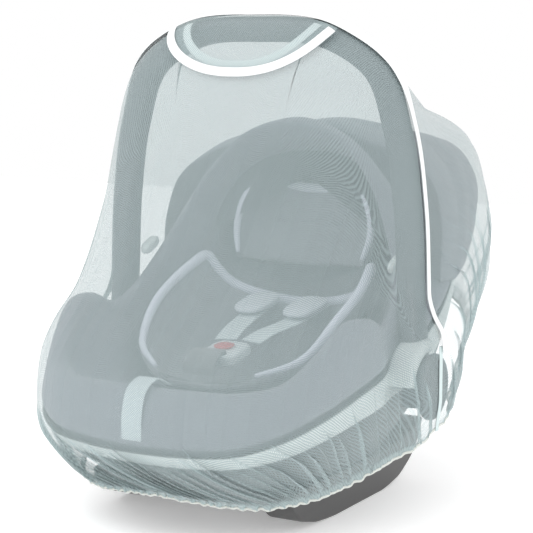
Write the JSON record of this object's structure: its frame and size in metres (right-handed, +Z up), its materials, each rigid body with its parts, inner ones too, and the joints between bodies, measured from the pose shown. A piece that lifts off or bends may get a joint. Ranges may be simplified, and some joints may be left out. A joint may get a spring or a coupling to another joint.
{
  "type": "mosquito net on infant carrier seat",
  "caption": "Fitted sheer mosquito net with a hand flap and a gathered elastic hem, stretched over a plain infant carrier seat with its carry handle upright.",
  "frame": {"origin": "on the floor that the rocker rails stand on, below the middle of the net's length and width", "axes": "+Z up, +Y towards the head end of the seat, +X to the right as seen from the foot end"},
  "size_m": [0.4486, 0.6019, 0.5409],
  "materials": {
    "net_mesh": "sheer knitted mesh, mint white",
    "white_tape": "folded bias tape",
    "dark_plastic": "moulded, fine grain",
    "light_plastic": "moulded, satin",
    "handle_plastic": "moulded, satin",
    "seat_fabric": "padded cover",
    "inlay_fabric": "padded insert with piping",
    "pale_padding": "padded sleeve",
    "pale_webbing": "woven webbing and satin buckle body",
    "red_button": "smooth"
  },
  "bodies": {
    "root": {"net_front_panel": "net_mesh", "net_rear_panel": "net_mesh", "hand_flap": "net_mesh", "crest_tape": "white_tape", "hole_binding": "white_tape", "flap_binding": "white_tape", "seat_shell": "dark_plastic", "pivot_disc_left": "dark_plastic", "pivot_disc_right": "dark_plastic", "rocker_rail_left": "dark_plastic", "rocker_rail_right": "dark_plastic", "rocker_crossbar_front": "dark_plastic", "rocker_crossbar_rear": "dark_plastic", "rim_trim": "light_plastic", "belt_guide_left": "light_plastic", "belt_guide_right": "light_plastic", "hub_cover_left": "light_plastic", "hub_cover_right": "light_plastic", "carry_handle": "handle_plastic", "seat_pad": "seat_fabric", "folded_hood": "seat_fabric", "newborn_inlay": "inlay_fabric", "head_support": "inlay_fabric", "shoulder_pad_left": "pale_padding", "shoulder_pad_right": "pale_padding", "crotch_pad": "pale_padding", "shoulder_strap_left": "pale_webbing", "shoulder_strap_right": "pale_webbing", "buckle": "pale_webbing", "front_strap": "pale_webbing", "release_button": "red_button"}
  },
  "joints": []
}
